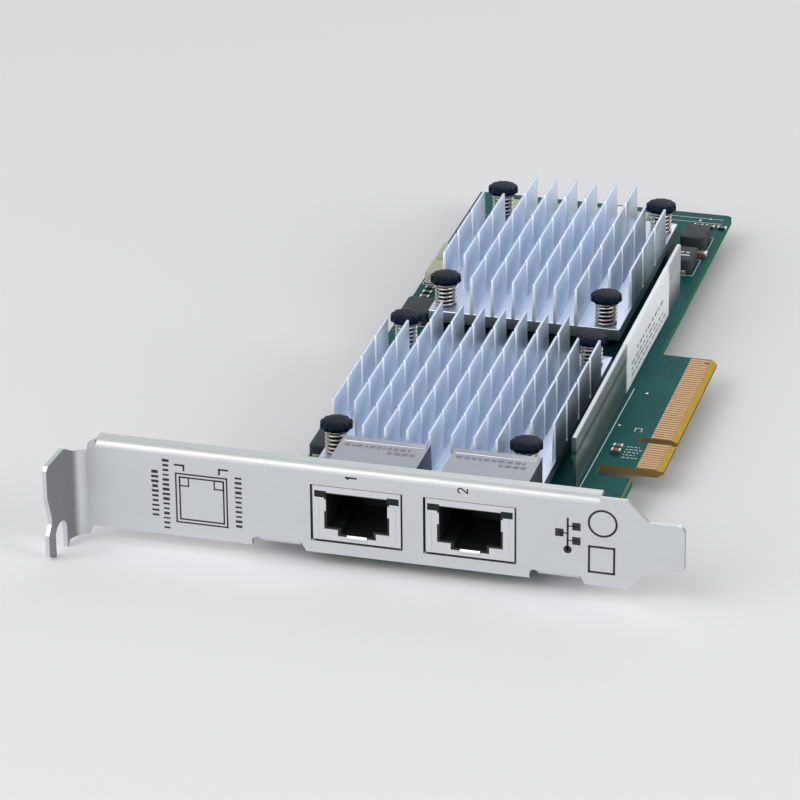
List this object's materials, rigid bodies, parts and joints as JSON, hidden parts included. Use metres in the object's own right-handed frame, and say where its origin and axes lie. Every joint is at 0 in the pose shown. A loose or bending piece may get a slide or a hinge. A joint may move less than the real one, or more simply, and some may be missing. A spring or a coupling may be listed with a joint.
{
  "type": "network interface card",
  "caption": "Low-profile circuit board with finned heat sinks on a full-height card bracket, RJ45 sockets at the front and an edge connector along one side.",
  "frame": {"origin": "on the outer face of the bracket, at half its width, midway between the two sockets", "axes": "+X along the bracket from the screw tab to the tongue, +Y back into the card along the board, +Z out of the component side"},
  "size_m": [0.1214, 0.1805, 0.0213],
  "materials": {
    "bracket_steel": "satin nickel-plated steel",
    "screw_steel": "plated steel",
    "board_mask": "glass-fibre laminate under green solder mask",
    "contact_gold": "gold-plated copper",
    "jack_steel": "tin-plated sheet",
    "black_plastic": "moulded black",
    "contact_wire": "gold-plated spring wire",
    "light_lens": "smoky light pipe, unlit",
    "sink_aluminium": "clear anodised",
    "pin_plastic": "moulded nylon",
    "spring_steel": "spring wire",
    "chip_case": "chip package with lid",
    "thermal_pad": "soft grey pad",
    "stiffener_metal": "plain sheet",
    "label_white": "blank paper label",
    "inductor_grey": "pressed powder",
    "capacitor_tan": "moulded case",
    "ceramic_tan": "ceramic with tinned ends",
    "resistor_black": "glazed ceramic",
    "chip_black": "moulded chip case",
    "crystal_can": "metal lid"
  },
  "bodies": {
    "root": {"io_bracket": "bracket_steel", "bracket_screws": "screw_steel", "circuit_board": "board_mask", "edge_contacts_top": "contact_gold", "edge_contacts_bottom": "contact_gold", "jack_shield_left": "jack_steel", "jack_shield_right": "jack_steel", "jack_housing_left": "black_plastic", "jack_housing_right": "black_plastic", "jack_contacts_left": "contact_wire", "jack_contacts_right": "contact_wire", "jack_lights_left": "light_lens", "jack_lights_right": "light_lens", "front_heat_sink": "sink_aluminium", "rear_heat_sink": "sink_aluminium", "front_push_pins": "pin_plastic", "rear_push_pins": "pin_plastic", "front_pin_springs": "spring_steel", "rear_pin_springs": "spring_steel", "front_chip": "chip_case", "rear_chip": "chip_case", "front_thermal_pad": "thermal_pad", "rear_thermal_pad": "thermal_pad", "board_stiffener": "stiffener_metal", "stiffener_label": "label_white", "power_inductors": "inductor_grey", "bulk_capacitors": "capacitor_tan", "chip_capacitors": "ceramic_tan", "chip_resistors": "resistor_black", "voltage_regulators": "chip_black", "flash_chip": "chip_black", "crystals": "crystal_can"}
  },
  "joints": []
}
